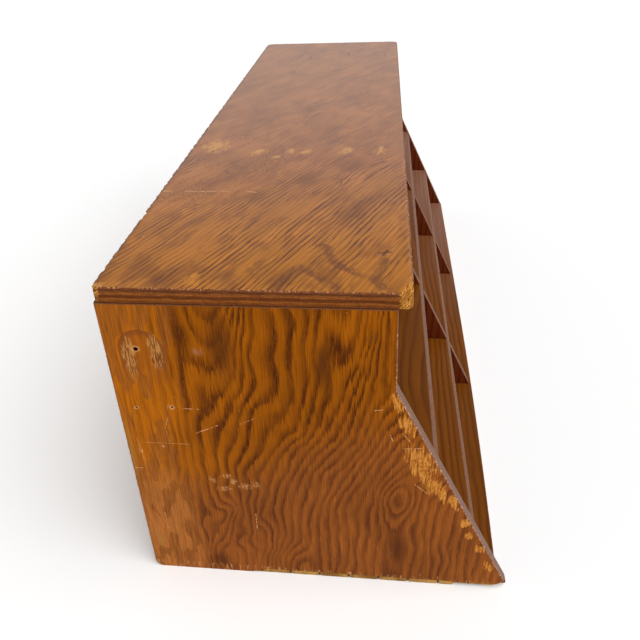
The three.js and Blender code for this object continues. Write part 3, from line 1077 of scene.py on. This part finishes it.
def top_face():
    mat = Shade("top_fir")
    spot = mat.plane(("X", 1, HALF_LENGTH), ("Y", -1, BACK_Y))
    length, depth = spot
    scratches = mat.strokes(mat.sway(spot, (9, 12), 2.2, seed=36), TOP_SCRATCHES, 1.3)
    dents = mat.strokes(spot, TOP_DENTS, 1.6)

    grain = top_grain(mat, spot)
    loose = frayed(mat, spot, grain)
    pale_marks = mat.hills(loose, TOP_PALE)
    smudge = mat.hills(loose, TOP_SMUDGES)
    bends = [pair for chain in TOP_BENDS for pair in zip(chain, chain[1:])]
    bends = mat.strokes(mat.sway(spot, (9, 9), 5.0, seed=37), bends, 6.0)
    streaks = fibres(mat, grain, 0.8, 60, 22)
    bundles = mat.noise(grain, (16, 70), 2.0, seed=25)
    mottle = mat.noise(loose, (36, 18), 2.0, 0.6, seed=34)
    blotch = mat.noise(spot, (60, 45), 2.0, seed=23)
    field = mat.blend_in(streaks, 0.15, top_figure(mat, loose))
    shown = mat.hill(spot, (240, 50), (150, 110), 0, 0.3)
    shown = mat.add(mat.ramp(bundles, 0.36, 0.64, 0.25, 1.05), shown)
    darkness = mat.times(rings(mat, field, 0.5), shown)
    pores = mat.noise(grain, (0.9, 60), 1.0, seed=24)
    lines = mat.fade(mat.ramp(pores, 0.5, 0.66), bundles, 0.38, 0.6, 0.15, 0.55)
    # Towards the far end the colours turn paler and greyer: partly the wood's own tone, partly a painted
    # reflection of the grazing sheen.
    near = mat.ramp(length, 0, 330, 1, 0)
    light = mat.mix(near, (162, 103, 58), (174, 106, 22))
    dark = mat.mix(near, (122, 70, 44), (96, 48, 10))
    mat.colour = wood_colour(mat, light, dark, darkness, streaks, 1.4, blotch)
    mat.stain(lines, (92, 46, 18))
    mat.stain(mat.ramp(mottle, 0.54, 0.6, 0, 0.36), mat.scaled(dark, 1.15))
    mat.stain(mat.ramp(mottle, 0.34, 0.46, 0.35, 0), light)

    torn = mat.noise(spot, (9, 4), 3.0, 0.6, seed=26)
    pale = mat.ramp(mat.blend_in(torn, 2.6, pale_marks), 1.4, 2.5, 0, 0.75)
    pale = mat.fade(pale, pale_marks, 0.02, 0.35)
    mat.stain(pale, mat.mix(near, (204, 144, 72), (198, 128, 32)))
    bends = mat.fade(bends, torn, 0.34, 0.6, 0.2, 0.7)
    mat.stain(mat.largest([mat.times(smudge, 0.5), bends]), (96, 50, 22))
    speck = mat.noise(spot, (1.4, 1.2), 1.0, seed=27)
    broken = mat.ramp(speck, 0.38, 0.56)
    dust = mat.ramp(speck, 0.77, 0.81, 0, 0.5)
    rim = mat.largest([mat.ramp(length, 0, 2.0, 0.5, 0), mat.ramp(depth, 227, 229.5, 0, 0.4)])
    rim = mat.fade(rim, torn, 0.42, 0.62, 0.15, 1.0)
    marks = mat.largest([mat.times(scratches, broken), dust, mat.times(rim, broken)])
    dark_rim = mat.fade(mat.ramp(depth, 1.5, 6, 0.6, 0), torn, 0.36, 0.56)
    mat.stain(mat.largest([dark_rim, mat.times(dents, 0.8)]), (64, 32, 16))
    mat.stain(marks, (208, 162, 120))
    chips = mat.hills(spot, TOP_CHIPS)
    crumbs = mat.blend_in(speck, 1.6, mat.blend_in(torn, 0.8, mat.times(chips, 0.5)))
    chips = mat.fade(mat.ramp(crumbs, 1.5, 1.62), chips, 0.02, 0.2)
    mat.stain(mat.times(chips, 0.7), (208, 148, 72))

    roughness = mat.blend_in(marks, 0.3, mat.blend_in(streaks, 0.06, 0.3))
    relief = mat.blend_in(dents, -3.0, mat.blend_in(streaks, 0.4, mat.times(lines, -0.3)))
    mat.bump(relief, 0.2, 0.15)
    return mat.finish(roughness, 0.46)


def top_edge():
    """The top board's edges: five veneers, alternately end and long grain, with a broken corner."""
    mat = Shade("top_edge_ply")
    low, high = box_mm("top_board")
    place = mat.plane(("X", 1, HALF_LENGTH), ("Y", -1, BACK_Y), ("Z", -1, HEIGHT))
    spot = place[:2]
    down = place[2]
    corner = mat.hill(spot, (2, 233), (28, 18), 14, 1.0)
    back_corner = mat.fade(mat.hill(spot, (0, 0), (10, 10), 0, 0.8), down, 3, 11, 1, 0.4)
    chip = mat.fade(mat.hill(spot, (126, 0), (16, 8), 0, 1.0), down, 1, 5, 1, 0)
    jitter = mat.noise(place, (16, 16, 1.6), 3.0, 0.6, seed=30)
    line = mat.add(mat.blend_in(jitter, 3.4, down), -1.7)
    bands = mat.colours(mat.times(line, 1 / (high.z - low.z)), (
        (0.03, (112, 64, 34)), (0.10, (98, 52, 24)), (0.20, (88, 44, 14)), (0.27, (122, 68, 26)),
        (0.40, (126, 70, 22)), (0.48, (92, 44, 8)), (0.64, (96, 46, 8)), (0.72, (134, 78, 24)),
        (0.79, (118, 62, 14)), (0.88, (100, 50, 8)), (0.98, (108, 54, 12)),
    ))
    grain = mat.noise(place, (10, 10, 0.5), 2.0, 0.6, seed=31)
    pits = mat.noise(place, (1.5, 1.5, 1.1), 2.0, 0.6, seed=32)
    level = mat.fade(mat.ramp(grain, 0.25, 0.75, 0.72, 1.25), pits, 0.3, 0.7, 0.8, 1.2)
    mat.colour = mat.scaled(bands, level)
    splinter = mat.blend_in(spot[1], 0.8, down)
    tangle = mat.noise((splinter, spot[0], down), (1.1, 9, 6), 2.0, 0.6, seed=33)
    raw = mat.colours(mat.blend_in(tangle, 0.6, mat.times(pits, 0.4)), (
        (0.38, (74, 40, 14)), (0.45, (134, 82, 26)), (0.54, (172, 116, 46)), (0.66, (214, 160, 92)),
    ))
    broken = mat.blend_in(pits, 0.25, mat.largest([corner, back_corner, chip]))
    broken = mat.ramp(broken, 0.30, 0.38)
    mat.stain(broken, raw)
    arris = mat.largest([mat.ramp(down, 0.2, 0.9, 1, 0), mat.ramp(down, 11.9, 12.6, 0, 0.4)])
    nicks = mat.fade(arris, pits, 0.48, 0.62, 0, 0.8)
    nicks = mat.fade(nicks, jitter, 0.38, 0.56, 0.1, 1.0)
    mat.stain(nicks, (196, 140, 104))
    mat.bump(mat.blend_in(broken, mat.times(tangle, 2.5), grain), 0.5, 0.4)
    return mat.finish(mat.ramp(broken, 0, 1, 0.45, 0.85), 0.08)


def panel_edge(side):
    """An end panel's edges: sealed and smooth along the front, with a grey-mauve tone that is partly a
    painted reflection, and bare where the foot is chipped.
    """
    mat = Shade(side + "_panel_edge")
    sign = -1 if side == "left" else 1
    place = mat.plane(("Y", -1, BACK_Y), ("Z", 1, 0), ("X", -sign, HALF_LENGTH))
    depth, height, inward = place
    jitter = mat.noise(place, (8, 8, 1.4), 2.0, seed=40)
    # Edge bands in a grey-mauve tone: partly the sealer's colour, partly painted reflection.
    bands = mat.colours(mat.times(mat.blend_in(jitter, 1.0, inward), 1 / 13.7), (
        (0.05, (116, 70, 44)), (0.14, SEALED_EDGE_AND_SHEEN), (0.20, (108, 70, 50)), (0.34, (122, 82, 58)),
        (0.55, (104, 66, 46)), (0.78, (118, 78, 54)), (0.95, (104, 66, 44)),
    ))
    grain = mat.noise(place, (14, 14, 0.6), 2.0, 0.6, seed=41)
    mat.colour = mat.scaled(bands, mat.ramp(grain, 0.25, 0.75, 0.86, 1.12))
    tan = mat.mix(mat.ramp(grain, 0.35, 0.65), (126, 86, 34), (176, 132, 66))
    # A dark glue line along the step above the foot, with painted shade in that crease and in the splits
    # between the ply blocks.
    split = mat.math("PINGPONG", mat.add(depth, -BLOCK_START), BLOCK_LENGTH / 2)
    gap = mat.largest([mat.ramp(height, 4.4, 5.4, 0, 0.9), mat.ramp(split, 0.5, 1.3, 0.9, 0)])
    tan = mat.mix(gap, tan, GLUE_LINE_AND_SHADE)
    foot = mat.ramp(height, 7.0, 8.6, 1, 0)
    mat.stain(foot, tan)
    mat.stain(mat.ramp(depth, 2, 4, 0.8, 0), (132, 84, 46))
    rim = mat.ramp(mat.blend_in(jitter, 3.0, height), 297.4, 298.8, 0, 0.8)
    mat.stain(rim, (96, 54, 22))
    pits = mat.noise(place, (1.6, 1.6, 1.1), 2.0, 0.6, seed=42)
    arris = mat.fade(mat.ramp(inward, 0.3, 1.0, 0.7, 0), pits, 0.48, 0.62)
    arris = mat.fade(arris, height, 270, 290, 1, 0.1)
    mat.stain(arris, (206, 168, 146))
    # Painted shade inside the small holes, past their outer arris.
    holes = mat.hills((depth, height), END_HOLES)
    mat.stain(mat.fade(mat.ramp(holes, 0, 0.1), inward, 0, 0.8), (34, 18, 10))
    mat.bump(grain, 0.3, 0.3)
    return mat.finish(mat.ramp(foot, 0, 1, 0.45, 0.8), 0.12)


def thin_edge():
    """The edges of the shelves, dividers and bottom board, sealed with the same varnish."""
    mat = Shade("inner_edge_ply")
    place = mat.plane(("X", 1, 0), ("Y", 1, 0), ("Z", 1, 0))
    grain = mat.noise(place, (3, 3, 3), 3.0, 0.6, seed=50)
    fine = mat.noise(place, (0.8, 0.8, 0.8), 2.0, 0.6, seed=51)
    mixed = mat.blend_in(fine, 0.5, mat.times(grain, 0.5))
    mat.colour = mat.colours(mixed, (
        (0.32, (76, 44, 26)), (0.48, (106, 66, 42)), (0.66, (130, 86, 56)),
    ))
    mat.bump(mixed, 0.3, 0.3)
    return mat.finish(0.5, 0.06)


def steel():
    """The nails, dull and a little rusty."""
    mat = Shade("nail_steel_dull")
    place = mat.plane(("X", 1, 0), ("Y", 1, 0), ("Z", 1, 0))
    tarnish = mat.noise(place, (0.9, 0.9, 0.9), 3.0, 0.6, seed=60)
    mat.colour = mat.colours(tarnish, (
        (0.35, (86, 66, 52)), (0.5, (128, 122, 116)), (0.7, (160, 156, 150)),
    ))
    mat.shader.inputs["Metallic"].default_value = 0.85
    mat.bump(tarnish, 0.3, 0.1)
    return mat.finish(mat.ramp(tarnish, 0.3, 0.7, 0.6, 0.38))


# ---------------- the whole rack

UPRIGHT = (("Y", -1, BACK_Y), ("Z", 1, 0))
LENGTHWISE = (("Y", 1, 0), ("X", 1, 0))
BACK_GRAIN = (("Z", 1, 0), ("X", 1, 0))
# Faces inside the bays and under boards: the fir's tones painted darker for the shade that falls there.
SHADED_INNER_LIGHT = (106, 54, 16)
SHADED_INNER_DARK = (82, 38, 11)
RIGHT_COLOURS = ((154, 86, 14), AMBER_DARK)
# Shelf and bottom board tops: the fir's own tone, partly painted darker for the shade inside the bays.
SHADED_SHELF_COLOURS = ((112, 60, 7), (86, 42, 4))
BACK_COLOURS = ((172, 122, 78), (134, 88, 52))
# Cathedral figures of the right end, the shelves and the back: (centre, radii, turn, rings).
RIGHT_HILLS = (
    ((120, 330), (70, 260), 0, -7.0), ((190, 20), (60, 190), 0, 6.0), ((60, 120), (26, 60), 0, 2.0),
)
SHELF_HILLS = (
    ((-20, -190), (60, 130), 0, 3.0), ((-60, -330), (60, 260), 0, -2.0),
    ((-20, 120), (80, 190), 0, 5.0),
)
BACK_HILLS = (
    ((190, -260), (110, 420), 0, 9.0), ((90, 240), (90, 380), 0, -8.0), ((40, -60), (40, 90), 0, 2.0),
)


def build():
    left_inner = plain_fir("left_end_inner_fir", UPRIGHT, SHADED_INNER_LIGHT, SHADED_INNER_DARK, 70)
    right_face = plain_fir("right_end_fir", UPRIGHT, *RIGHT_COLOURS, 74, 7.5, 0.2, 0.36, RIGHT_HILLS)
    underside = plain_fir("top_underside_fir", LENGTHWISE, SHADED_INNER_LIGHT, SHADED_INNER_DARK, 78)
    shelf_top = plain_fir("shelf_top_fir", LENGTHWISE, *SHADED_SHELF_COLOURS, 82, 7.0, 0.14, 0.4, SHELF_HILLS, 0.24)
    shelf_under = plain_fir("shelf_under_fir", LENGTHWISE, SHADED_INNER_LIGHT, SHADED_INNER_DARK, 86)
    # Painted shade: the dividers and the insides of the right end and the back are the same fir, coloured
    # deep dark red for the shade in the bays.
    bay_shade_fir = plain_fir("bay_fir_painted_shade", UPRIGHT, (92, 36, 10), (68, 20, 5), 90, gloss=0.06)
    back_face = plain_fir("back_fir", BACK_GRAIN, *BACK_COLOURS, 94, 8.0, 0.2, 0.7, BACK_HILLS)
    inner_edge = thin_edge()

    make_end_panel("left", (left_end_face(), panel_edge("left"), left_inner), chipped=True)
    make_end_panel("right", (right_face, panel_edge("right"), bay_shade_fir), chipped=False)
    make_top((top_face(), top_edge(), underside))
    make_bottom((shelf_top, inner_edge, back_face))
    make_shelf("middle_shelf", 31.0, (shelf_top, inner_edge, shelf_under))
    make_shelf("upper_shelf", 35.0, (shelf_top, inner_edge, shelf_under))
    make_divider("left_divider", 41.0, (bay_shade_fir, inner_edge, bay_shade_fir))
    make_divider("right_divider", 45.0, (bay_shade_fir, inner_edge, bay_shade_fir))
    make_back((back_face, inner_edge, bay_shade_fir))

    nail_metal = steel()
    for name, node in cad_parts.items():
        if "nail" in name:
            node.data.materials.clear()
            node.data.materials.append(nail_metal)


make_camera()
make_floor()
make_room()
make_key()
build()
